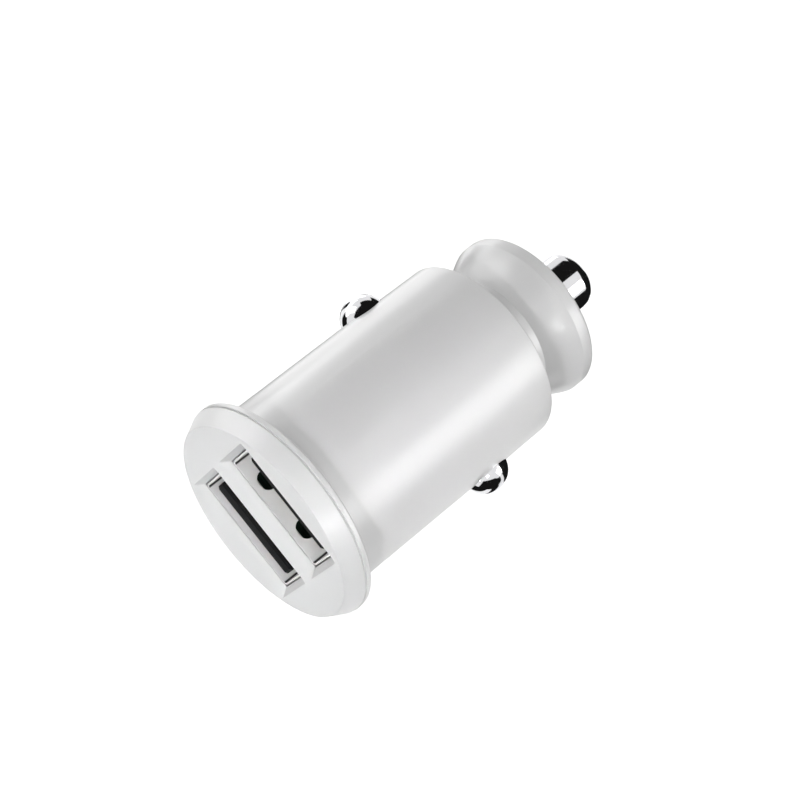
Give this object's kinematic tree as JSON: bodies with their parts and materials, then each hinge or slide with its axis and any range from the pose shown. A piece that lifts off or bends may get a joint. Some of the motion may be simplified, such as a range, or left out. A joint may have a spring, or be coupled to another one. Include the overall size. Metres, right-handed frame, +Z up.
{
  "type": "car usb charger plug",
  "caption": "White round charger plug for a car's 12 V socket, with two stacked charging ports in its chamfered face, sprung ball side contacts and a sprung metal tip.",
  "frame": {"origin": "centre of the flange's rear face, on the plug's axis, where the plug seats on the socket's mouth", "axes": "+Y along the plug's axis from the port face to the tip, +X along the port slots, +Z up, square to the board"},
  "size_m": [0.0246, 0.0456, 0.0246],
  "materials": {
    "white_plastic": "gloss",
    "chrome_plate": "polished",
    "spring_steel": "drawn wire",
    "nickel_sheet": "nickel plated",
    "black_plastic": "satin",
    "gold_contact": "gold flash",
    "brass_sheet": "plain",
    "board_green": "solder mask",
    "ferrite": "sintered",
    "chip_black": "moulded",
    "chip_ceramic": "fired",
    "capacitor_can": "drawn can"
  },
  "bodies": {
    "housing": {"barrel": "white_plastic", "front_bezel": "white_plastic", "tail_cap": "white_plastic", "tip_spring": "spring_steel", "side_spring_left": "spring_steel", "side_spring_right": "spring_steel", "port_shell_upper": "nickel_sheet", "port_shell_lower": "nickel_sheet", "port_tongue_upper": "black_plastic", "port_tongue_lower": "black_plastic", "port_contact_upper_1": "gold_contact", "port_contact_upper_2": "gold_contact", "port_contact_upper_3": "gold_contact", "port_contact_upper_4": "gold_contact", "port_contact_lower_1": "gold_contact", "port_contact_lower_2": "gold_contact", "port_contact_lower_3": "gold_contact", "port_contact_lower_4": "gold_contact", "positive_contact": "brass_sheet", "ground_plate_left": "brass_sheet", "ground_plate_right": "brass_sheet", "circuit_board": "board_green", "inductor": "ferrite", "controller_chip": "chip_black", "rectifier_diode": "chip_black", "chip_fuse": "chip_ceramic", "chip_resistor_1": "chip_ceramic", "chip_resistor_2": "chip_ceramic", "input_capacitor": "capacitor_can", "output_capacitor": "capacitor_can"},
    "tip": {"tip_pin": "chrome_plate"},
    "left_contact": {"side_contact_left": "chrome_plate"},
    "right_contact": {"side_contact_right": "chrome_plate"}
  },
  "joints": [
    {"name": "tip_press", "type": "slide", "parent": "housing", "child": "tip", "axis": [0, -1, 0], "range_m": [0, 0.003], "stiffness_N_per_m": 700, "springref_m": -0.002, "deforming": ["tip_spring"]},
    {"name": "left_contact_press", "type": "slide", "parent": "housing", "child": "left_contact", "axis": [1, 0, 0], "range_m": [0, 0.0016], "stiffness_N_per_m": 900, "springref_m": -0.001, "deforming": ["side_spring_left"]},
    {"name": "right_contact_press", "type": "slide", "parent": "housing", "child": "right_contact", "axis": [-1, 0, 0], "range_m": [0, 0.0016], "stiffness_N_per_m": 900, "springref_m": -0.001, "deforming": ["side_spring_right"]}
  ]
}
